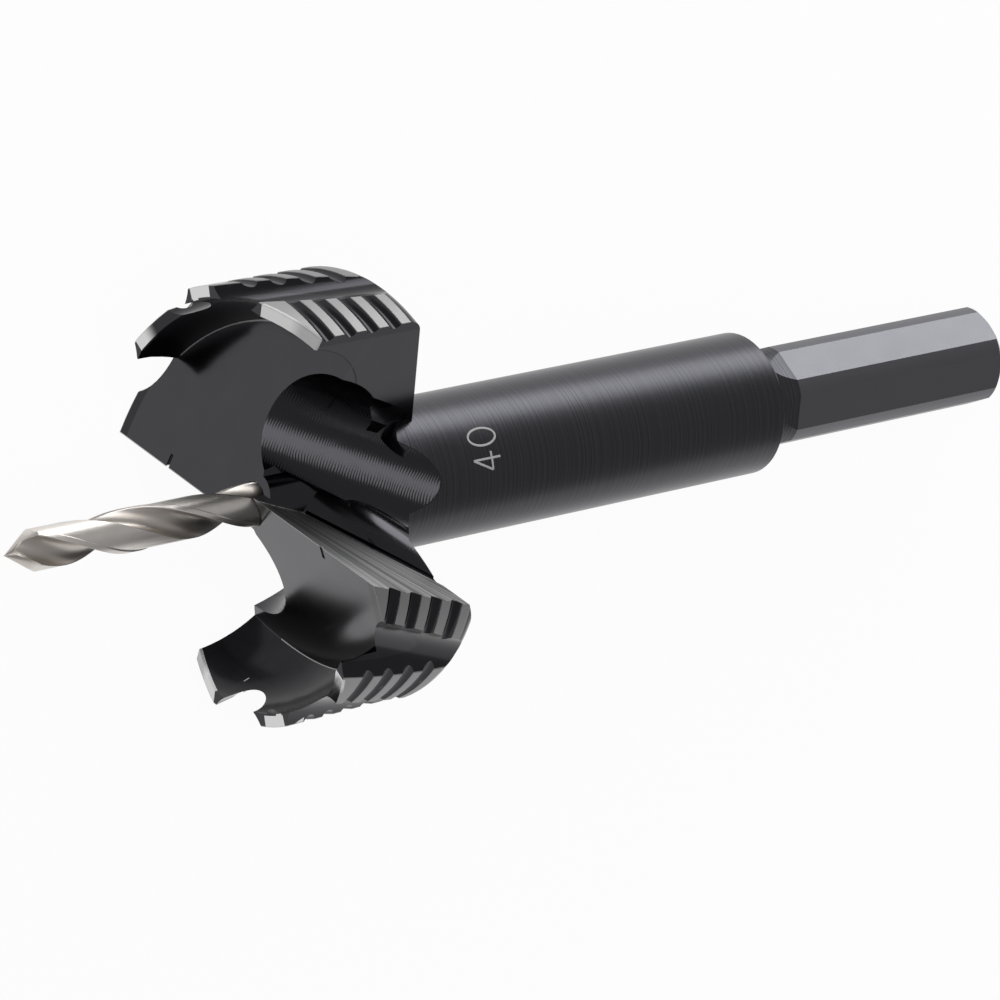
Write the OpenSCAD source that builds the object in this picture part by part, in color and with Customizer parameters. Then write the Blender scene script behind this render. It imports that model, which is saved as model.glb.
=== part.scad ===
// Toothed-rim wood boring bit with two wings, a centre drill and a hexagon shank.
// Millimetres. The bit is drawn upright in its own tool frame: z runs along the axis towards the drill
// point, and z = 0 is where the rim's outside starts to round over at its back.
// rest_pose() then lays it down as it comes to rest, on a corner of each wing and the end of the shank.

/* [Head] */
// Cutting diameter
head_d = 40; // [34:0.5:60]
// Height of the tooth tips
tip_z = 11.7; // [10.5:0.1:14]
// Slope of the back of the head, in degrees
back_slope = 16.3; // [8:0.1:24]
// Rounding of the rim's back corner
back_round = 1.7; // [0.6:0.1:2.5]

/* [Main cutting edges] */
// Height of the two main edges
edge_z = 11.15; // [9.5:0.05:12]
// Turn of a main edge from the axis plane, in degrees
edge_turn = 24.6; // [15:0.1:32]
// How far a main edge stands ahead of the centre
edge_ahead = 1.53; // [0.8:0.01:2.2]
// Rake angle of the ground face under a main edge, in degrees
rake = 20.8; // [12:0.1:26]
// Clearance angle of the front face behind a main edge, in degrees
clearance = 22; // [14:0.5:24]
// Place of the chip-breaking nick along a main edge
nick_at = 12; // [8:0.1:16]
// Radius of the nick
nick_r = 0.22; // [0.1:0.01:0.4]
// Length of the nick
nick_l = 1.3; // [0.6:0.1:2]

/* [Toothed rim] */
// Angle of the first tooth behind the start of its wing, in degrees
tooth_angle = 50.6; // [46:0.1:54]
// Angle from tooth to tooth, in degrees
tooth_pitch = 32.5; // [30:0.1:34]
// Teeth on each wing
teeth = 3; // [2:1:3]
// Fall of a tooth's top behind its tip, in degrees
tooth_fall = 19; // [10:0.5:24]
// Thickness of the rim at the tooth tips
rim_wall = 1.2; // [0.8:0.1:2]
// Radius of the hollow inside the rim
hollow_r = 8.4; // [7.4:0.1:9]
// Radius of the gashes between the teeth
gash_r = 4.2; // [3:0.1:5]
// Depth of a gash half way down the rim
gash_depth = 1.28; // [0.8:0.02:1.5]
// Sideways lean of a gash, in degrees
gash_lean = 20.7; // [10:0.1:28]
// Inward tilt of a gash towards the front, in degrees
gash_tilt = 6.9; // [3:0.1:9]

/* [Ringed outside] */
// Number of turned rings on the outside
rings = 4; // [2:1:4]
// Distance from ring to ring
ring_pitch = 2.4; // [2:0.05:2.6]
// Height of the rearmost ring
ring_z = 1.5; // [1:0.1:2]
// Width of a ring
ring_w = 1.4; // [0.8:0.05:1.7]
// Depth of a ring
ring_depth = 0.5; // [0.2:0.05:0.7]

/* [Chip gullets] */
// Angle of the plane that ends a wing, in degrees
wing_end = 46.5; // [40:0.5:54]
// Radius of the round flute
flute_r = 6.15; // [5.6:0.05:7]
// Wall between the drill's bore and the round flute, half way down the head
flute_wall = 1.3; // [1.1:0.05:2]
// Wall left around the drill's bore where the gullets meet it
bore_wall = 0.75; // [0.5:0.05:1]
// Radius of the corner flute beside the wing's end
corner_r = 2.3; // [1.8:0.1:2.6]
// Radius of the hub left under the main edge
hub_r = 4; // [3.6:0.1:4.4]
// Radius of the relief groove at the foot of the rake face
relief_r = 0.35; // [0.2:0.01:0.6]
// Height of the flat on the back of a wing, behind its main edge
heel_z = 0; // [-0.5:0.1:0.8]
// Slope of the wing's back from that flat to the turned back, in degrees
heel_slope = 25; // [18:1:40]

/* [Body and shank] */
// Diameter of the body
body_d = 13.7; // [12:0.1:15]
// Height of the body's end
body_end_z = -47; // [-70:0.5:-35]
// Chamfer of the body's end
body_chamfer = 0.6; // [0.2:0.1:1.2]
// Diameter of the neck where it meets the body
neck_d = 8.8; // [7.5:0.1:9.2]
// Length of the tapered neck
neck_l = 3.3; // [2:0.1:6]
// Width of the hexagon across its flats
hex_af = 9.25; // [9.1:0.05:9.6]
// Diameter that the hexagon's corners are turned to
hex_corner_d = 9.9; // [9.8:0.05:10.4]
// Length of the shank behind the body
shank_l = 30; // [20:0.5:45]
// Chamfer of the shank's end
shank_chamfer = 0.9; // [0.3:0.1:1.5]
// Turn of the hexagon's corners, in degrees
hex_turn = 9.3; // [0:0.1:59]

/* [Centre drill] */
// Diameter of the centre drill
drill_d = 4; // [3:0.1:4.4]
// Height of the drill's point
drill_tip_z = 36.1; // [30:0.1:45]
// Length of one turn of the drill's flutes
drill_lead = 27; // [18:0.5:34]
// Point angle of the drill, in degrees
drill_point = 118; // [90:1:140]
// Thickness of the drill's web
drill_web = 1.1; // [0.7:0.05:1.4]
// Share of half a turn taken by a land of the drill
drill_land = 0.52; // [0.4:0.01:0.65]
// Height where the drill's flutes start
drill_flute_z = 3; // [1:0.5:5]
// Depth of the drill's shank behind the rim
drill_seat = 22; // [15:0.5:30]
// Clearance of the drill in its bore, all round
drill_fit = 0.03; // [0.01:0.01:0.08]

/* [Grub screw] */
// Thread diameter of the grub screw
screw_d = 4; // [3:0.5:5]
// Height of the grub screw
screw_z = -13; // [-17:0.5:-10]
// Turn of the grub screw around the body, in degrees
screw_turn = 180; // [140:5:220]
// How far the screw sits below the body's surface
screw_below = 0.5; // [0.2:0.1:1.2]
// Width of the screw's hexagon socket
socket_af = 2; // [1.5:0.1:2.2]
// Depth of the screw's hexagon socket
socket_depth = 1.8; // [1:0.1:2.2]
// Depth of the flat that the screw bears on
drill_flat = 0.3; // [0.1:0.05:0.5]
// Clearance of the screw in its thread and on the flat
screw_fit = 0.03; // [0.01:0.01:0.08]

/* [Hidden] */
$fn = 96;

head_r = head_d / 2;
body_r = body_d / 2;
neck_r = neck_d / 2;
corner_turn_r = hex_corner_d / 2;
drill_r = drill_d / 2;
bore_r = drill_r + drill_fit;
screw_r = screw_d / 2;
reach = 2 * head_d;
over = 1;

// Back of the head: the sharp corner of rim and back, and the rounding that replaces it
back_z = -back_round * tan((90 - back_slope) / 2);
round_c = [head_r - back_round, 0];
back_tangent = round_c + back_round * [sin(back_slope), -cos(back_slope)];
back_at_body_z = back_z - (head_r - body_r) * tan(back_slope);

// Shank
shank_end_z = body_end_z - shank_l;
neck_end_z = body_end_z - neck_l;
end_face_r = corner_turn_r - shank_chamfer;

// Hollow inside the rim: a ring of round section that leaves the rim's wall at the tips
hollow_below = 0.46;
hollow_z = tip_z - hollow_below;
hollow_ring_r = head_r - rim_wall - sqrt(hollow_r * hollow_r - hollow_below * hollow_below);

// Gashes: mid height of the rim, and the place of a gash ahead of its tooth's tip
gash_low = 0.6;
gash_mid_z = tip_z / 2 - gash_low;
gash_ahead = 5;
gash_axis_r = head_r - gash_depth + gash_r;
gash_sweep = 24;
open_ahead = 4;

// Round section of a turned ring: the circle with the ring's width and depth at the surface
ring_r = (ring_w * ring_w / 4 + ring_depth * ring_depth) / (2 * ring_depth);

// Flute passes: where each cutter's axis is set, and how it leans
flute_mid_z = 4.4;
flute_turn = 20.1;
flute_lean = [-27.9, -24.5, 0];
corner_sunk = 0.2;
corner_foot = concat(polar(body_r - corner_sunk, wing_end), back_at_body_z);
corner_lean = [-20.25, 20.5, 0];
corner_start = 1.25;
corner_share = 0.88;

// Nose of the body beside the corner flute, rounded about a line that leans out to the front
nose_z = -4.67;
nose_turn = 34.5;
nose_lean = [-4.9, 55, 0];
nose_r = 1.72;

// Open sector: its gap to the body, and where its side turns off to run straight out
open_gap = 0.05;
open_turn_gap = 2.65;
open_turn_y = 0.5;
open_in = polar(body_r + open_gap, wing_end);
open_mid = [body_r + open_turn_gap, open_turn_y];

// Hub under the main edge: the line that it is rounded about, and the level of its ridge with the flute
hub_at = [0.81, -3.05, 3];
hub_turn = 138;
hub_rise = 22.15;
ridge_at = [1.4, -0.54, 3.43];
ridge_tilt = 51.5;

// Foot of the rake face, measured in the plane of that face
foot_drop = 3.45;
foot_slope = 29.3;

// Heel of a wing: the foot of the rake face there, and the rise of its flat from the body
rake_foot = edge_ahead - tan(rake) * (edge_z - heel_z);
heel_gap = 0.03;
heel_run = 3.4;
heel_fall = 2.4;
heel_in_r = body_r + heel_gap;
heel_out_r = heel_in_r + heel_run;
heel_low_z = heel_z - (head_r + rake_foot) * tan(heel_slope);

// Rest pose: the floor touches a main edge's outer corner, the other wing's end and the end of the shank.
// With the floor's direction at rest_turn, the three points' heights are equal where
// r cos(corner - turn) - (1 + share) r cos(stop - turn) + share shank_r = 0, and rest_turn solves that.
edge_corner = 180 - edge_turn + asin(edge_ahead / head_r);
wing_stop = 180 + wing_end;
shank_touch_z = shank_end_z + shank_chamfer;
rest_share = edge_z / -shank_touch_z;
rest_pair = polar(head_r, edge_corner) - (1 + rest_share) * polar(head_r, wing_stop);
rest_turn = atan2(rest_pair[1], rest_pair[0]) + acos(-rest_share * corner_turn_r / norm(rest_pair));
rest_half = wing_stop - rest_turn;
rest_lean = atan((head_r * cos(rest_half) - corner_turn_r) / -shank_touch_z);
rest_across = cos(rest_half) * cos(rest_lean);
rest_lift = round_c[0] * rest_across + back_round * norm([rest_across, sin(rest_lean)]);
rest_front_x = -drill_tip_z * cos(rest_lean);
rest_back_x = -shank_end_z * cos(rest_lean) + end_face_r * sin(rest_lean);
rest_shift = -(rest_front_x + rest_back_x) / 2;

// Centre drill: rings of its twisted section, closer together at the point
drill_tip_r = 0.04;
drill_under = 0.02;
drill_back = 0.95;
drill_body_r = drill_r - drill_under;
drill_relief_r = drill_body_r * drill_back;
flute_power = 0.75;
drill_margin = 0.16;
drill_steps = 16;
point_h = drill_body_r / tan(drill_point / 2);
flute_rings = 40;
point_rings = 6;
drill_sunk = 0.5;

function polar(r, a) = [r * cos(a), r * sin(a)];

// How far the drill's flute is hollowed at share t of half a turn
function flute_share(t) = pow(sin(180 * (t - drill_land) / (1 - drill_land)), flute_power);

// Radius of the drill's section at share t of half a turn: margin, relieved land, then a round flute
function drill_section(t) =
    t < drill_margin * drill_land ? drill_body_r :
    t < drill_land ? drill_relief_r :
    drill_relief_r - (drill_relief_r - drill_web / 2) * flute_share(t);

// Radius that the drill's pointed end allows at height z
function point_radius(z) = max(drill_tip_r, (drill_tip_z - z) * tan(drill_point / 2));

// One ring of the drill, turned by its lead
function drill_ring(z) = [for (i = [0 : 2 * drill_steps - 1])
    let (t = i / drill_steps)
    let (r = min(drill_section(t - floor(t)), point_radius(z)))
    let (a = 180 * t + 360 * z / drill_lead)
    [r * cos(a), r * sin(a), z]];

module both_wings() {
    for (a = [0, 180]) rotate([0, 0, a]) children();
}

// Frame of a main edge: x out along the edge, y ahead of it, z along the axis
module edge_frame() {
    translate([0, 0, edge_z]) rotate([0, 0, -edge_turn]) translate([0, edge_ahead, 0]) children();
}

// Head, body and neck as one turned blank
module turned_blank() {
    rotate_extrude()
        polygon(concat(
            [[0, tip_z], [head_r, tip_z], [head_r, 0], back_tangent, [body_r, back_at_body_z]],
            [[body_r, body_end_z + body_chamfer], [body_r - body_chamfer, body_end_z], [0, body_end_z]]));
    back_corner();
}

// Round outside corner of the rim's back
module back_corner() {
    rotate_extrude()
        intersection() {
            translate(round_c) circle(back_round);
            polygon([round_c, [head_r, 0], [head_r, back_z], back_tangent]);
        }
}

// Shank: a turned neck and bar, with six flats
module shank() {
    intersection() {
        rotate_extrude()
            polygon([[0, body_end_z + over], [neck_r, body_end_z + over], [neck_r, body_end_z],
                [corner_turn_r, neck_end_z], [corner_turn_r, shank_touch_z], [end_face_r, shank_end_z],
                [0, shank_end_z]]);
        translate([0, 0, shank_end_z - over])
            rotate([0, 0, hex_turn])
                cylinder(h = shank_l + 3 * over, r = hex_af / 2 / cos(30), $fn = 6);
    }
}

// Turned rings around the outside of the rim
module outside_rings() {
    for (i = [0 : rings - 1])
        translate([0, 0, ring_z + i * ring_pitch])
            rotate_extrude()
                translate([head_r - ring_depth + ring_r, 0]) circle(ring_r);
}

// Space above the clearance face of one wing, back to the other wing's main edge
module above_clearance() {
    intersection() {
        edge_frame()
            rotate([clearance, 0, 0])
                translate([-reach, -reach, 0]) cube([2 * reach, 2 * reach, reach]);
        rotate([0, 0, -edge_turn])
            linear_extrude(reach)
                polygon([[reach, edge_ahead + over], [0, edge_ahead + over], [0, -edge_ahead],
                    [-reach, -edge_ahead], [-reach, -reach], [reach, -reach]]);
    }
}

// Hollow inside the rim
module rim_hollow() {
    translate([0, 0, hollow_z]) rotate_extrude() translate([hollow_ring_r, 0]) circle(hollow_r);
    translate([0, 0, hollow_z - hollow_r]) cylinder(h = reach, r = hollow_ring_r);
}

// Sector from angle a0 to angle a1, full height
module sector(a0, a1) {
    linear_extrude(reach)
        polygon([[0, 0], polar(reach, a0), polar(reach, (a0 + a1) / 2), polar(reach, a1)]);
}

// Everything in front of one wing: the floor inside the rim, and the open stretch before the first tooth
module front_of_wing() {
    intersection() {
        above_clearance();
        union() {
            rim_hollow();
            sector(open_ahead - tooth_angle, edge_turn);
        }
    }
}

// Sloping tops of the teeth
module tooth_tops() {
    for (i = [0 : teeth - 1])
        rotate([0, 0, -tooth_angle - i * tooth_pitch])
            translate([0, 0, tip_z])
                intersection() {
                    rotate([tooth_fall, 0, 0]) translate([0, -reach, 0]) cube(reach);
                    translate([0, 0, -reach / 2]) sector(-gash_sweep, 0);
                }
}

// Round gashes between the lands, leaning across the outside of the rim
module gashes() {
    for (i = [0 : teeth - 1])
        rotate([0, 0, gash_ahead - tooth_angle - i * tooth_pitch])
            translate([gash_axis_r, 0, gash_mid_z])
                rotate([-gash_lean, -gash_tilt, 0])
                    cylinder(h = head_d, r = gash_r, center = true);
}

// Round flute cut by a cutter that leans in towards the front
module round_flute() {
    translate(concat(polar(bore_r + flute_wall + flute_r, flute_turn), flute_mid_z))
        rotate(flute_lean)
            cylinder(h = 3 * head_r, r = flute_r, center = true);
}

// Small flute along the corner between the body and the wing's end
module corner_flute() {
    translate(corner_foot + concat(polar(corner_share * corner_r, wing_end - 90), 0))
        rotate(corner_lean)
            translate([0, 0, corner_start]) cylinder(h = 2 * head_r, r = corner_r);
}

// Round nose of the body that the corner flute stops at
module nose() {
    intersection() {
        translate(concat(polar(body_r, nose_turn), nose_z))
            rotate(nose_lean)
                cylinder(h = body_d, r = nose_r, center = true);
        translate([0, 0, -head_r]) cylinder(h = head_r, r = body_r);
    }
}

// Open sector between the end plane of one wing and the start of the other
module open_sector() {
    translate([0, 0, -head_r])
        linear_extrude(reach)
            polygon([open_in, polar(reach, wing_end), [reach, -reach], [open_mid[0], -reach], open_mid]);
}

// Space on the main edge's side of the ridge between flute and hub
module below_ridge() {
    translate(ridge_at)
        rotate([ridge_tilt, 0, 0])
            translate([0, -reach, 0]) cube([reach, 2 * reach, reach]);
}

// What stays in a gullet: the round hub under the main edge, and the wall of the drill's bore
module hub() {
    translate(hub_at)
        rotate([0, 90 - hub_rise, hub_turn])
            cylinder(h = 2 * head_d, r = hub_r, center = true);
    translate([0, 0, -head_r]) cylinder(h = reach, r = bore_r + bore_wall);
}

// Chip gullet ahead of one main edge
module gullet() {
    difference() {
        intersection() {
            translate([0, 0, -head_r]) cylinder(h = head_r + tip_z + over, r = head_r + 2 * over);
            edge_frame()
                rotate([-rake, 0, 0])
                    translate([-reach, 0, -reach]) cube([2 * reach, reach, 2 * reach]);
            union() {
                round_flute();
                difference() {
                    corner_flute();
                    nose();
                }
                open_sector();
                below_ridge();
            }
        }
        hub();
    }
    edge_frame()
        rotate([-rake, 0, 0])
            translate([0, 0, -foot_drop])
                rotate([0, 90 + foot_slope, 0])
                    translate([0, 0, body_r / 2]) cylinder(h = head_d, r = relief_r);
}

// Space behind the heel of one wing: a flat under the main edge that runs out into the turned back
module heel() {
    intersection() {
        rotate_extrude()
            polygon([[heel_in_r, back_at_body_z - over], [heel_in_r, heel_z - heel_fall],
                [heel_out_r, heel_z], [head_r + over, heel_z], [head_r + over, back_at_body_z - over]]);
        rotate([0, 0, -edge_turn])
            rotate([90, 0, 90])
                linear_extrude(head_d)
                    polygon([[head_r, heel_z], [rake_foot, heel_z], [-head_r, heel_low_z],
                        [-head_r, -head_r], [head_r, -head_r]]);
        rotate([0, 0, wing_end])
            translate([-reach, -reach, -reach]) cube([2 * reach, reach, 2 * reach]);
    }
}

// Chip-breaking nick across a main edge
module nick() {
    edge_frame()
        translate([nick_at, 0, 0])
            rotate([90 + clearance, 0, 0])
                translate([0, 0, -over]) cylinder(h = nick_l + over, r = nick_r);
}

// Lays the upright bit down as it comes to rest
module rest_pose() {
    translate([rest_shift, 0, rest_lift])
        rotate([0, rest_lean - 90, 0])
            rotate([0, 0, 180 - rest_turn])
                children();
}

// Radial frame of the grub screw: z out through the body
module screw_frame() {
    translate([0, 0, screw_z]) rotate([0, 90, screw_turn]) children();
}

// Steps of making the cutter, in the order of the machining
module bored_blank() {
    difference() {
        turned_blank();
        translate([0, 0, -drill_seat]) cylinder(h = reach, r = bore_r);
        screw_frame() cylinder(h = body_d, r = screw_r);
    }
}

module faced_head() {
    difference() {
        bored_blank();
        both_wings() front_of_wing();
    }
}

module winged_head() {
    difference() {
        faced_head();
        both_wings() gullet();
    }
}

module heeled_head() {
    difference() {
        winged_head();
        both_wings() heel();
    }
}

module ringed_head() {
    difference() {
        heeled_head();
        outside_rings();
    }
}

module gashed_head() {
    difference() {
        ringed_head();
        both_wings() gashes();
    }
}

module toothed_head() {
    difference() {
        gashed_head();
        both_wings() tooth_tops();
    }
}

module cutter_body() {
    color([0.16, 0.16, 0.18])
        rest_pose() {
            difference() {
                toothed_head();
                both_wings() nick();
            }
            shank();
        }
}

module pilot_drill() {
    first_z = drill_flute_z - drill_sunk;
    rings_z = concat(
        [for (i = [0 : flute_rings - 1]) first_z + (drill_tip_z - point_h - first_z) * i / flute_rings],
        [for (i = [0 : point_rings]) drill_tip_z - point_h * (1 - i / point_rings)]);
    n = 2 * drill_steps;
    last = len(rings_z) - 1;
    foot = (last + 1) * n;
    tip = foot + 1;
    color([0.74, 0.72, 0.7])
        rest_pose() {
            polyhedron(
                points = concat(
                    [for (z = rings_z) each drill_ring(z)],
                    [[0, 0, first_z], [0, 0, drill_tip_z]]),
                faces = concat(
                    [for (i = [0 : n - 1]) [foot, i, (i + 1) % n]],
                    [for (k = [0 : last - 1]) for (i = [0 : n - 1])
                        each [[k * n + i, (k + 1) * n + i, (k + 1) * n + (i + 1) % n],
                            [k * n + i, (k + 1) * n + (i + 1) % n, k * n + (i + 1) % n]]],
                    [for (i = [0 : n - 1]) [tip, last * n + (i + 1) % n, last * n + i]]));
            difference() {
                translate([0, 0, -drill_seat]) cylinder(h = drill_seat + drill_flute_z, r = drill_r);
                screw_frame()
                    translate([0, 0, drill_r - drill_flat + drill_r])
                        cube([2 * screw_d, drill_d, 2 * drill_r], center = true);
            }
        }
}

module grub_screw() {
    foot = drill_r - drill_flat + screw_fit;
    top = body_r - screw_below;
    color([0.2, 0.2, 0.21])
        rest_pose()
            screw_frame()
                difference() {
                    translate([0, 0, foot]) cylinder(h = top - foot, r = screw_r - screw_fit);
                    translate([0, 0, top - socket_depth])
                        cylinder(h = socket_depth + over, r = socket_af / 2 / cos(30), $fn = 6);
                }
}

cutter_body();
pilot_drill();
grub_screw();
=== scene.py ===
"""Toothed-rim boring bit: finishes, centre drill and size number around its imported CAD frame.

The floor, the light and the photo's camera are set up here too."""
import math
from types import SimpleNamespace

import bpy
import numpy as np
from mathutils import Matrix, Vector


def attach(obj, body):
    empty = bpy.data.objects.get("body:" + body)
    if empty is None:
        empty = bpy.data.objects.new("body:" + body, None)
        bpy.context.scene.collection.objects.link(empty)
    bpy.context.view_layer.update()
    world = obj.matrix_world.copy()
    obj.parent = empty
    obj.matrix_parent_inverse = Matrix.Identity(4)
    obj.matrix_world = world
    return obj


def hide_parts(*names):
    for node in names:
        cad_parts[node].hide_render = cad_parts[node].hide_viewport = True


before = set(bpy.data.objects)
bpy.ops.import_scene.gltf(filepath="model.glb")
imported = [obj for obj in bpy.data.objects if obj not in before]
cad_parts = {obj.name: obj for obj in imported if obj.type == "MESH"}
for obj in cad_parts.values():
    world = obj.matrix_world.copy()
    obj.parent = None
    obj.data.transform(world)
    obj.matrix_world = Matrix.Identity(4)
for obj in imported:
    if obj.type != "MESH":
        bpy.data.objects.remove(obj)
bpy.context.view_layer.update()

MM = 0.001

# The bit's own frame inside the row frame: x and y across the axis, h along it to the drill's tip.
BIT_X = np.array([0.140198, -0.156006, 0.977756])
BIT_Y = np.array([0.022143, 0.987756, 0.154427])
BIT_H = np.array([-0.989876, 0.0, 0.141936])
BIT_ORIGIN = np.array([-20.530382, 0.0, 15.722822])

# Sizes of the cutter, in millimetres and degrees, as the CAD has them.
HEAD_R = 20.0
TIP_H = 11.7
EDGE_H = 11.15
EDGE_TURN = 24.6
EDGE_AHEAD = 1.53
RAKE = 20.8
CLEARANCE = 22.0
TOOTH_ANGLE = 50.6
TOOTH_PITCH = 32.5
TOOTH_FALL = 19.0
RIM_WALL = 1.2
HOLLOW_R = 8.4
HOLLOW_FALL = 0.46
HOLLOW_H = TIP_H - HOLLOW_FALL
HOLLOW_RING_R = HEAD_R - RIM_WALL - math.sqrt(HOLLOW_R**2 - HOLLOW_FALL**2)
BODY_R = 6.85
NECK_END_H = -50.3
FOOT_DROP = 3.45
FOOT_SLOPE = 29.3
FLUTE_R = 6.15
FLUTE_POINT = (8.903, 3.258, 4.4)
FLUTE_ALONG = (-0.3665, 0.4679, 0.8042)
WING_MIDDLE = -77.0
GULLET_MIDDLE = 12.0

# How near a point has to be to a face, in millimetres or degrees, to take that face's finish.
PLANE_SKIN = 0.06
ROUND_SKIN = 0.08
LAND_SKIN = 0.07
LAND_LOW_H = -0.2
TOP_SKIN = 0.3
TOP_INNER_R = 17.6
TOOTH_LEAD = 0.5
TIP_FADE = (2.5, 7.0)
SECOND_TIP = 6.0
# Where a painted highlight sits on the second tooth's outside face.
OUTER_TIP_R = 18.95
OUTER_TIP_DEPTH = 2.2
OUTER_TIP_TURN = 8.5
RAKE_LOW_H = -1.0
FLUTE_LOW_H = -9.0
BODY_SKIN = 0.3
BODY_FADE = (1.5, 2.5)
# A bright line at the hollow's foot, wear and a painted highlight: its half width and its turns.
WEAR_AND_GLINT_HALF_WIDTH = 0.1
WEAR_AND_GLINT_TURN = (-118.0, -48.0)
HOLLOW_INSIDE = 2.0
# The rim's outside, to this depth, is darkened as painted shade.
RIM_DEPTH = 1.1

# Scale and detail of each noise.
PATCH_NOISE = (0.35, 3.0)
RING_NOISE = (5.0, 4.0)
BRUSH_NOISE = (14.0, 3.0)
RIDGE_NOISE = (0.5, 1.0)
DRILL_LINE_NOISE = (16.0, 3.0)
DRILL_PATCH_NOISE = (0.8, 2.0)
SCREW_NOISE = (6.0, 2.0)
MARK_NOISE = (9.0, 2.0)

# Where the shades of a pattern change over, in noise or in millimetres from the axis.
RING_FADE = (0.3, 0.7)
BRUSH_FADE = (0.35, 0.65)
# Over this span from the axis, painted light brightens the rake faces.
OUTWARD_LIGHT_FADE = (2.0, 19.0)
# Over this span the drill's flutes lose their painted shade.
DRILL_HOLLOW_FADE = (1.2, 1.85)
PATCH_SHARE = 0.5
DRILL_PATCH_SHARE = 0.35

# Roughness of the oxide, to which the zones add, and the milling ridges in the flutes.
OXIDE_ROUGH = 0.14
RIDGE_TURN = 24.0
RIDGE_WANDER = 12.0

# Sizes of the centre drill. Its flutes, point and turn follow the photo, the other sizes the CAD.
DRILL_R = 1.98
DRILL_SHANK_R = 2.0
DRILL_TIP_H = 36.1
DRILL_SEAT_H = -22.0
DRILL_FLUTE_H = 3.0
DRILL_LEAD = 27.0
DRILL_POINT = 68.0
DRILL_WEB = 1.1
DRILL_LAND = 0.52
DRILL_MARGIN = 0.16
DRILL_BACK = 0.95
DRILL_PHASE = 40.0
DRILL_RUN_OUT = 1.5
DRILL_GROWTH = 2.0
DRILL_BARE = 1.0
DRILL_TIP_R = 0.03
DRILL_TIP_GAP = 0.02
MARGIN_STEP = 0.02
MARGIN_POINTS = 10
LAND_POINTS = 44
FLUTE_POINTS = 44
FLUTED_RINGS = 190
POINT_RINGS = 40

# Strokes of the size number, as arc and height on the body.
STROKE_WIDTH = 0.21
STROKE_RISE = 0.014
STROKE_POINTS = 12
FOUR_TOP = (0.49, -9.8)
FOUR_FOOT = (0.49, -12.8)
FOUR_LEFT = (-0.6, -11.84)
FOUR_RIGHT = (1.11, -11.84)
NOUGHT_MIDDLE = (2.58, -11.33)
NOUGHT_HALF = (0.84, 1.5)

# Studio, in metres.
MIDDLE = (0.0, 0.0, 0.015)
FLOOR_HALF = 0.7
FLOOR_Z = -0.0004
FLOOR_WHITE = 0.95
WORLD_STRENGTH = 0.36
CAMERA_PLACE = (-0.21708, -0.01637, 0.42318)
CAMERA_RIGHT = (0.86668, -0.22834, 0.44355)
CAMERA_UP = (0.19095, 0.97323, 0.12790)
CAMERA_FORWARD = (0.46088, 0.02617, -0.88708)


def grey(value, warm=0.0):
    """A grey colour, made warmer or, with a negative number, bluer."""
    return (value * (1 + max(warm, 0)), value, value * (1 - warm), 1.0)


# Shades. A pair runs from the dark to the light of a pattern, or from the axis outwards.
HEAD_OXIDE = grey(0.045, -0.1)
FLOOR_OXIDE = grey(0.058, -0.1)
# The hollow's wall, darkened well below the oxide: painted shade.
HOLLOW_PAINTED_SHADE = grey(0.014, -0.1)
# The rim's outside, oxide darkened: painted shade.
RIM_PAINTED_SHADE = grey(0.03, -0.1)
SHANK_OXIDE = grey(0.13, -0.1)
RING_OXIDE = (grey(0.05, -0.12), grey(0.07, -0.12))
# The bright line at the hollow's foot: wear and a painted highlight.
WORN_STEEL_AND_GLINT = grey(0.3)
LAND_STEEL = grey(0.29)
END_STEEL = grey(0.4)
# Bright steel of the tooth tips, which also paints a highlight on the second tooth's outside face.
TIP_STEEL_AND_HIGHLIGHT = grey(0.62)
# The rake pairs run from painted shade near the axis to painted light towards the rim.
RAKE_DARK = (grey(0.12), grey(0.24))
RAKE_LIGHT = (grey(0.36), grey(0.62))
DRILL_STEEL = grey(0.74, 0.05)
# Darker steel in the drill's flutes: painted shade.
DRILL_FLUTE_SHADE = grey(0.52, 0.08)
DRILL_PATCH = grey(0.4, 0.09)
SCREW_OXIDE = (grey(0.05, -0.04), grey(0.1, -0.04))
MARKED_LINE = (grey(0.3), grey(0.55))
FLOOR_PAINT = grey(0.9)
WHITE = grey(1.0)


def to_row(points):
    """Points of the bit's frame in millimetres, turned and moved into the row frame in metres."""
    return (points @ np.stack([BIT_X, BIT_Y, BIT_H]) + BIT_ORIGIN) * MM


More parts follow.
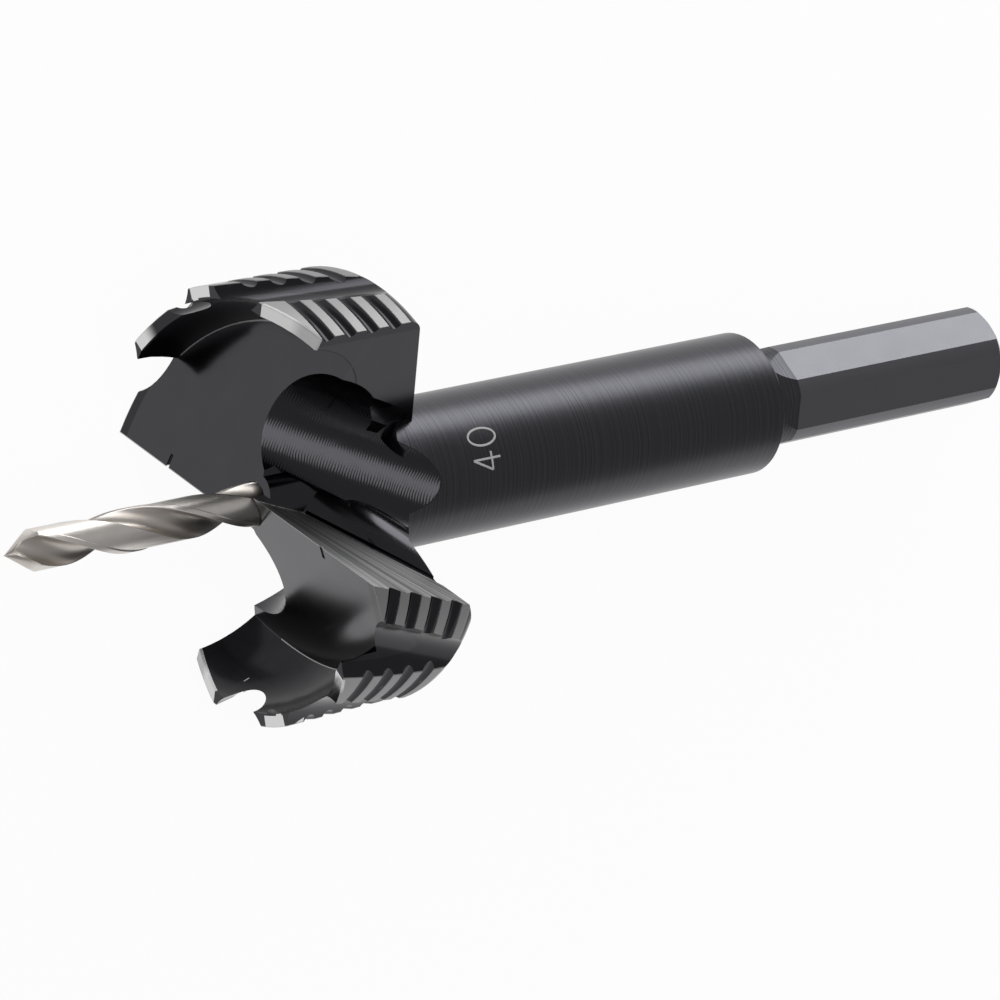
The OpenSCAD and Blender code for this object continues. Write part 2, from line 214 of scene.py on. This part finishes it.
class Wire:
    """A socket of a material's node tree.

    Arithmetic on wires adds Math nodes, and add() makes any other node."""

    def __init__(self, tree, socket=None):
        self.tree = tree
        self.socket = socket

    def add(self, kind, settings=None, sockets=None, out=0):
        """A new node: its settings first, then a value or a link for each socket.

        Returns one of its outputs."""
        node = self.tree.nodes.new("ShaderNode" + kind)
        for name, value in (settings or {}).items():
            setattr(node, name, value)
        for key, value in (sockets or {}).items():
            if isinstance(value, Wire):
                self.tree.links.new(value.socket, node.inputs[key])
            else:
                node.inputs[key].default_value = value
        return Wire(self.tree, node.outputs[out] if node.outputs else None)

    def math(self, operation, *values):
        return self.add("Math", {"operation": operation}, dict(enumerate(values)))

    def __add__(self, other):
        return self.math("ADD", self, other)

    def __sub__(self, other):
        return self.math("SUBTRACT", self, other)

    def __rsub__(self, other):
        return self.math("SUBTRACT", other, self)

    def __mul__(self, other):
        return self.math("MULTIPLY", self, other)

    def __truediv__(self, other):
        return self.math("DIVIDE", self, other)

    def __rtruediv__(self, other):
        return self.math("DIVIDE", other, self)

    def __abs__(self):
        return self.math("ABSOLUTE", self)

    def __lt__(self, other):
        return self.math("LESS_THAN", self, other)

    def __gt__(self, other):
        return self.math("GREATER_THAN", self, other)

    __radd__ = __add__
    __rmul__ = __mul__

    def root(self):
        return self.math("SQRT", self)

    def sine(self):
        return self.math("SINE", self)

    def larger(self, other):
        return self.math("MAXIMUM", self, other)

    def dot(self, vector):
        return self.add("VectorMath", {"operation": "DOT_PRODUCT"},
                        {0: self, 1: tuple(vector)}, "Value")

    def fade(self, start, end):
        """0 before start, 1 after end, smooth between them."""
        return self.add("MapRange", {"interpolation_type": "SMOOTHSTEP"},
                        {"Value": self, "From Min": start, "From Max": end})

    def blend(self, low, high):
        """The colour low where this value is 0, and high where it is 1."""
        return self.add("Mix", {"data_type": "RGBA"}, {0: self, 6: low, 7: high}, 2)

    def line_noise(self, scale, detail):
        """Noise about 0.5 along this value."""
        return self.add("TexNoise", {"noise_dimensions": "1D"},
                        {"W": self, "Scale": scale, "Detail": detail})

    def space_noise(self, scale, detail):
        """Noise about 0.5 through the space of this vector."""
        return self.add("TexNoise", None, {"Vector": self, "Scale": scale, "Detail": detail})


def new_material(name):
    """An empty node material, and a first wire into its tree."""
    material = bpy.data.materials.new(name)
    material.use_nodes = True
    material.node_tree.nodes.clear()
    return material, Wire(material.node_tree)


def finish_material(wire, shader):
    """The shader as the material's surface."""
    wire.add("OutputMaterial", None, {"Surface": shader})


def metal(wire, colour, rough, height=None, strength=0.0, depth=0.0):
    """A metal surface of a colour and a roughness.

    With a height it has fine relief too, as deep as depth in millimetres."""
    sockets = {"Base Color": colour, "Metallic": 1.0, "Roughness": rough}
    if height is not None:
        sockets["Normal"] = wire.add(
            "Bump", None, {"Strength": strength, "Distance": depth * MM, "Height": height})
    finish_material(wire, wire.add("BsdfPrincipled", None, sockets))


def bit_place(wire):
    """Wires for a point's place in the bit's frame, in millimetres: the vector, x, y, h and radius.

    The vector keeps the row frame's directions and is only moved to the bit's origin."""
    spot = wire.add("TexCoord", out="Object")
    scaled = wire.add("VectorMath", {"operation": "MULTIPLY_ADD"},
                      {0: spot, 1: (1 / MM,) * 3, 2: tuple(-BIT_ORIGIN)})
    x, y, h = scaled.dot(BIT_X), scaled.dot(BIT_Y), scaled.dot(BIT_H)
    return SimpleNamespace(mm=scaled, x=x, y=y, h=h, r=(x * x + y * y).root())


def half_turn_sign(place, turn):
    """1 on the half of the bit that the direction at turn degrees points into, -1 on the other."""
    a = math.radians(turn)
    return (place.x * math.cos(a) + place.y * math.sin(a) > 0) * 2 - 1


def wing_place(place):
    """A wing's own place: out along its main edge, ahead of it, and the turn in degrees."""
    side = half_turn_sign(place, WING_MIDDLE)
    a = math.radians(EDGE_TURN)
    out = (place.x * math.cos(a) - place.y * math.sin(a)) * side
    ahead = (place.x * math.sin(a) + place.y * math.cos(a)) * side
    turn = side.math("ARCTAN2", place.y * side, place.x * side) * math.degrees(1)
    return SimpleNamespace(out=out, ahead=ahead, turn=turn)


def within(value, half_width):
    """1 where the value is nearer to 0 than the half width."""
    return abs(value) < half_width


def slope(degrees):
    """Rise over run of an angle in degrees."""
    return math.tan(math.radians(degrees))


def ground_zones(place, wing):
    """Where the oxide is ground away: lands of the rim, tooth tips, last teeth and rake faces. The
    bright tooth tips include a painted highlight on the face of the second tooth that looks away
    from the axis.

    down and foot are a point's depth on a rake face and the depth of that face's foot."""
    lands = (place.r > HEAD_R - LAND_SKIN) * (place.h > LAND_LOW_H)
    back = -TOOTH_ANGLE - wing.turn
    behind = back.math("MODULO", back, TOOTH_PITCH)
    drop = (behind * math.radians(1)).sine() * place.r * slope(TOOTH_FALL)
    tops = within(place.h - TIP_H + drop, TOP_SKIN)
    tops = tops * (place.r > TOP_INNER_R) * (back > -TOOTH_LEAD)
    second = back > TOOTH_PITCH - TOOTH_LEAD
    # The second tooth's outside face near its tip is painted bright: a painted highlight.
    outside_highlight = (place.r > OUTER_TIP_R) * (place.h > TIP_H - OUTER_TIP_DEPTH)
    outside_highlight = outside_highlight * second * (back < TOOTH_PITCH + OUTER_TIP_TURN)
    tips = (tops * (1 - (behind - second * SECOND_TIP).fade(*TIP_FADE))).larger(outside_highlight)
    ends = tops * (back > 2 * TOOTH_PITCH - TOOTH_LEAD)
    off_rake = wing.ahead - EDGE_AHEAD + (EDGE_H - place.h) * slope(RAKE)
    down = (EDGE_H - place.h) * (1 / math.cos(math.radians(RAKE)))
    foot = wing.out * slope(FOOT_SLOPE) + FOOT_DROP
    rake = within(off_rake, PLANE_SKIN) * (down < foot) * (place.h > RAKE_LOW_H)
    return SimpleNamespace(lands=lands, tips=tips, ends=ends, rake=rake, down=down, foot=foot)


def oxide_zones(place, wing):
    """Zones of the oxide: flutes, body, shank, floors, rim, hollow and a bright line at the
    hollow's foot. The rim and hollow get painted shade, and the line is wear and a painted
    highlight.

    along is a point's place along the axis of its flute."""
    side = half_turn_sign(place, GULLET_MIDDLE)
    x, y = place.x * side - FLUTE_POINT[0], place.y * side - FLUTE_POINT[1]
    h = place.h - FLUTE_POINT[2]
    along = x * FLUTE_ALONG[0] + y * FLUTE_ALONG[1] + h * FLUTE_ALONG[2]
    from_axis = (x * x + y * y + h * h - along * along).root()
    flute = within(from_axis - FLUTE_R, ROUND_SKIN) * (place.h > FLUTE_LOW_H)
    body = (place.r < BODY_R + BODY_SKIN) * (0 - place.h).fade(*BODY_FADE) * (1 - flute)
    floor_gap = place.h - EDGE_H - (wing.ahead - EDGE_AHEAD) * slope(CLEARANCE)
    floor = within(floor_gap, PLANE_SKIN)
    ring_r, ring_h = place.r - HOLLOW_RING_R, place.h - HOLLOW_H
    off_wall = (ring_r * ring_r + ring_h * ring_h).root() - HOLLOW_R
    # The hollow's wall is coloured darker: painted shade.
    hollow = within(off_wall, ROUND_SKIN) * (1 - floor)
    hollow = hollow * (place.r > HOLLOW_RING_R - HOLLOW_INSIDE)
    # A bright line where the floor meets the hollow's wall: wear and a painted highlight.
    wear_and_glint = floor * within(off_wall, WEAR_AND_GLINT_HALF_WIDTH) * (place.r > HOLLOW_RING_R)
    wear_and_glint = wear_and_glint * (wing.turn > WEAR_AND_GLINT_TURN[0]) * (wing.turn < WEAR_AND_GLINT_TURN[1])
    return SimpleNamespace(flute=flute, along=along, body=body, shank=place.h < NECK_END_H,
                           floor=floor, rim=place.r > HEAD_R - RIM_DEPTH, hollow=hollow, wear_and_glint=wear_and_glint)


def cutter_finish():
    """Black oxide over turned and milled steel, ground bright on lands, tips and rake faces, with
    painted shade on the rim and in the hollows, and painted light on the rake faces, a tooth and a
    floor edge.
    """
    material, wire = new_material("black_oxide_and_ground_steel")
    place = bit_place(wire)
    wing = wing_place(place)
    ground, oxide = ground_zones(place, wing), oxide_zones(place, wing)
    patchy = place.mm.space_noise(*PATCH_NOISE)
    rings = place.h.line_noise(*RING_NOISE)
    brushed = (ground.down / ground.foot).line_noise(*BRUSH_NOISE)

    # Shade of the ground steel: the rake faces' lines fan out, with painted shade near the axis and
    # painted light that lightens them towards the rim
    outward_light = wing.out.fade(*OUTWARD_LIGHT_FADE)
    lines = brushed.fade(*BRUSH_FADE).blend(outward_light.blend(*RAKE_DARK), outward_light.blend(*RAKE_LIGHT))
    steel = ground.rake.blend(LAND_STEEL, lines)

    # Each zone over the ones before it
    colour = HEAD_OXIDE
    for zone, shade in (
            # The hollow and the rim's outside are darkened: painted shade.
            (oxide.floor, FLOOR_OXIDE), (oxide.hollow, HOLLOW_PAINTED_SHADE), (oxide.rim, RIM_PAINTED_SHADE),
            (patchy * PATCH_SHARE, HEAD_OXIDE),
            (oxide.body, rings.fade(*RING_FADE).blend(*RING_OXIDE)),
            # The line at the hollow's foot: wear and a painted highlight.
            (oxide.shank, SHANK_OXIDE), (oxide.wear_and_glint, WORN_STEEL_AND_GLINT),
            (ground.lands.larger(ground.rake), steel),
            # The tips' bright steel includes a painted highlight.
            (ground.ends, END_STEEL), (ground.tips, TIP_STEEL_AND_HIGHLIGHT)):
        colour = zone.blend(colour, shade)

    rough = OXIDE_ROUGH
    for zone, more in ((oxide.body, 0.15), (oxide.shank, 0.06), (patchy, 0.05),
                       (ground.lands, 0.36), (ground.rake, 0.24), (ground.ends, 0.2)):
        rough = rough + zone * more

    # Relief: turned rings, milling ridges and ground lines
    ridges = oxide.along * RIDGE_TURN + place.mm.space_noise(*RIDGE_NOISE) * RIDGE_WANDER
    height = rings * oxide.body * 0.7 + ridges.sine() * oxide.flute * 0.32
    height = height + brushed * ground.rake * 0.5
    metal(wire, colour, rough, height, strength=0.5, depth=0.02)
    return material


def drill_finish():
    """Bright ground tool steel with fine lines round it, darker in the flutes as painted shade."""
    material, wire = new_material("bright_tool_steel")
    place = bit_place(wire)
    lines = place.h.line_noise(*DRILL_LINE_NOISE)
    patch = place.mm.space_noise(*DRILL_PATCH_NOISE)
    # The flutes, near the axis, are darker: painted shade.
    hollow = 1 - place.r.fade(*DRILL_HOLLOW_FADE)
    colour = hollow.blend(DRILL_STEEL, DRILL_FLUTE_SHADE)
    colour = (patch * DRILL_PATCH_SHARE).blend(colour, DRILL_PATCH)
    metal(wire, colour, 0.32 + lines * 0.1, lines, strength=0.2, depth=0.008)
    return material


def screw_finish():
    """Plain black oxide with a fine grain."""
    material, wire = new_material("black_oxide_screw")
    grain = bit_place(wire).mm.space_noise(*SCREW_NOISE)
    metal(wire, grain.blend(*SCREW_OXIDE), 0.3 + grain * 0.15)
    return material


def mark_finish():
    """Light grey of a marked line, a little uneven."""
    material, wire = new_material("marked_line")
    grain = bit_place(wire).mm.space_noise(*MARK_NOISE)
    shader = wire.add("BsdfPrincipled", None, {
        "Base Color": grain.blend(*MARKED_LINE), "Metallic": 0.0, "Roughness": 0.6})
    finish_material(wire, shader)
    return material


def floor_finish():
    """White to the camera and to reflections, with a share left to the light for the shadow."""
    material, wire = new_material("studio_floor")
    rays = ("Is Camera Ray", "Is Glossy Ray", "Is Transmission Ray")
    direct, glossy, through = (wire.add("LightPath", out=ray) for ray in rays)
    seen = direct + glossy + through > 0.5
    lit = wire.add("BsdfDiffuse", None, {"Color": FLOOR_PAINT})
    white = wire.add("Emission", None, {"Color": WHITE, "Strength": 1.0})
    shader = wire.add("MixShader", None, {0: seen * FLOOR_WHITE, 1: lit, 2: white})
    finish_material(wire, shader)
    return material


def skin_rings(name, rings, material, joined=False):
    """A closed mesh over rings of points (ring, point, axis): quads between rings, and flat caps.

    With joined, the last ring meets the first and there are no caps."""
    count, around = rings.shape[:2]
    index = np.arange(count * around).reshape(count, around)
    near, far = (index, np.roll(index, -1, 0)) if joined else (index[:-1], index[1:])
    quads = np.stack([near, np.roll(near, -1, 1), np.roll(far, -1, 1), far], -1).reshape(-1, 4)
    caps = [] if joined else [index[0][::-1].tolist(), index[-1].tolist()]
    faces = quads.tolist() + caps
    mesh = bpy.data.meshes.new(name)
    mesh.from_pydata(to_row(rings.reshape(-1, 3)).tolist(), [], faces)
    mesh.polygons.foreach_set("use_smooth", np.ones(len(faces), bool))
    mesh.update()
    mesh.materials.append(material)
    piece = bpy.data.objects.new(name, mesh)
    bpy.context.scene.collection.objects.link(piece)
    return piece


def drill_section():
    """One section of the drill as points x + iy: a margin, a relieved land and a flute, each twice.

    The margin and land are arcs about the axis. The flute is an arc about a point outside the web,
    through the end of one land and the start of the next."""
    relieved = DRILL_R * DRILL_BACK
    land_turn = np.pi * DRILL_LAND
    margin_turn = land_turn * DRILL_MARGIN
    half = (np.pi - land_turn) / 2
    end_x, end_y = relieved * math.cos(half), relieved * math.sin(half)
    web = DRILL_WEB / 2
    arc_r = ((end_x - web)**2 + end_y**2) / (2 * (end_x - web))
    centre = web + arc_r
    end_turn = math.atan2(end_y, end_x - centre)
    sweep = np.linspace(2 * np.pi - end_turn, end_turn, FLUTE_POINTS)[1:-1]
    flute = (centre + arc_r * np.exp(1j * sweep)) * np.exp(1j * (land_turn + half))
    margin = DRILL_R * np.exp(1j * np.linspace(0, margin_turn, MARGIN_POINTS))
    land = relieved * np.exp(1j * np.linspace(margin_turn + MARGIN_STEP, land_turn, LAND_POINTS))
    once = np.concatenate([margin, land, flute])
    return np.concatenate([once, -once])


def drill_rings():
    """The drill as a section carried up its axis, turning with h, under the cone of its point.

    The section grows out of the round shank over a short height."""
    tan_half = slope(DRILL_POINT / 2)
    point_h = DRILL_TIP_H - DRILL_R / tan_half
    run_out_h = DRILL_FLUTE_H - DRILL_RUN_OUT
    h = np.concatenate([[DRILL_SEAT_H, run_out_h - DRILL_BARE],
                        np.linspace(run_out_h, point_h, FLUTED_RINGS),
                        np.linspace(point_h, DRILL_TIP_H - DRILL_TIP_GAP, POINT_RINGS)[1:]])
    h = h[:, None]
    section = drill_section()
    start = np.clip((h - run_out_h) / DRILL_GROWTH, 0, 1)
    start = start * start * (3 - 2 * start)
    around = np.arange(len(section)) * 2 * np.pi / len(section)
    shank = DRILL_SHANK_R * np.exp(1j * around)
    outline = shank[None] + (section - shank)[None] * start
    limit = np.maximum((DRILL_TIP_H - h) * tan_half, DRILL_TIP_R)
    outline = outline * np.minimum(1, limit / np.abs(outline))
    outline = outline * np.exp(1j * (2 * np.pi * h / DRILL_LEAD - math.radians(DRILL_PHASE)))
    return np.stack([outline.real, outline.imag, h + 0 * outline.real], -1)


def stroke_rings(path, joined):
    """A marked stroke: a flat oval profile carried along a path of arc and height on the body."""
    step = (np.roll(path, -1, 0) - np.roll(path, 1, 0)) if joined else np.gradient(path, axis=0)
    step /= np.linalg.norm(step, axis=1, keepdims=True)
    across = np.stack([-step[:, 1], step[:, 0]], -1)
    a = np.linspace(0, 2 * np.pi, STROKE_POINTS, endpoint=False)
    flat = path[:, None] + across[:, None] * (np.cos(a) * STROKE_WIDTH / 2)[None, :, None]
    r = BODY_R + np.sin(a)[None, :] * STROKE_RISE + 0 * flat[..., 0]
    angle = flat[..., 0] / BODY_R
    return np.stack([r * np.cos(angle), r * np.sin(angle), flat[..., 1]], -1)


def line_path(start, end, steps=24):
    """Evenly spread points along a straight line."""
    share = np.linspace(0, 1, steps)[:, None]
    return np.array(start) * (1 - share) + np.array(end) * share


def oval_path(centre, half, steps=64):
    """Points round an oval, with the last one a step before the first."""
    a = np.linspace(0, 2 * np.pi, steps, endpoint=False)
    return np.stack([centre[0] + half[0] * np.sin(a), centre[1] + half[1] * np.cos(a)], -1)


def look_matrix(place, right, up, forward):
    """World matrix of a camera from where it stands and the way it faces."""
    turn = Matrix((right, up, -Vector(forward))).transposed()
    return Matrix.Translation(place) @ turn.to_4x4()


def softbox(name, place, width, height, brightness):
    """A rectangular lamp that faces the part, with the brightness that its face shows."""
    lamp = bpy.data.lights.new(name, "AREA")
    lamp.shape = "RECTANGLE"
    lamp.size = width
    lamp.size_y = height
    lamp.energy = brightness * math.pi * width * height
    thing = bpy.data.objects.new(name, lamp)
    thing.location = place
    facing = Vector(MIDDLE) - Vector(place)
    thing.rotation_euler = facing.to_track_quat("-Z", "Y").to_euler()
    bpy.context.scene.collection.objects.link(thing)


# Finishes of the CAD nodes
for node, made in (("cutter_body", cutter_finish()), ("grub_screw", screw_finish())):
    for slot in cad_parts[node].material_slots:
        slot.material = made

# Centre drill, finer than its solid
drill = skin_rings("centre_drill", drill_rings(), drill_finish())
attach(drill, "root")
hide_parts("pilot_drill")

# Size number on the body
marked = mark_finish()
strokes = {
    "size_four_slope": (line_path(FOUR_TOP, FOUR_LEFT), False),
    "size_four_bar": (line_path(FOUR_LEFT, FOUR_RIGHT), False),
    "size_four_stem": (line_path(FOUR_TOP, FOUR_FOOT), False),
    "size_nought": (oval_path(NOUGHT_MIDDLE, NOUGHT_HALF), True),
}
for name, (path, joined) in strokes.items():
    stroke = skin_rings(name, stroke_rings(path, joined), marked, joined)
    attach(stroke, "root")

# Floor
floor_mesh = bpy.data.meshes.new("studio_floor")
corners = ((-1, -1), (1, -1), (1, 1), (-1, 1))
floor_mesh.from_pydata([(x * FLOOR_HALF, y * FLOOR_HALF, FLOOR_Z) for x, y in corners], [],
                       [(0, 1, 2, 3)])
floor_mesh.materials.append(floor_finish())
floor = bpy.data.objects.new("studio_floor", floor_mesh)
bpy.context.scene.collection.objects.link(floor)

# Light
softbox("side_softbox", place=(0.37, 0.46, 0.14), width=0.6, height=0.26, brightness=4.2)
softbox("top_softbox", place=(-0.15, 0.0, 0.75), width=0.5, height=0.5, brightness=2.2)
world = bpy.data.worlds.new("studio")
bpy.context.scene.world = world
world.use_nodes = True
background = world.node_tree.nodes["Background"]
background.inputs["Color"].default_value = WHITE
background.inputs["Strength"].default_value = WORLD_STRENGTH

# Camera
camera_data = bpy.data.cameras.new("camera")
camera_data.lens = 180.0
camera_data.sensor_width = 36.0
camera_data.clip_start = 0.01
camera_data.clip_end = 10.0
camera = bpy.data.objects.new("camera", camera_data)
camera.matrix_world = look_matrix(CAMERA_PLACE, CAMERA_RIGHT, CAMERA_UP, CAMERA_FORWARD)
bpy.context.scene.collection.objects.link(camera)
bpy.context.scene.camera = camera
bpy.context.scene.view_settings.view_transform = "Standard"
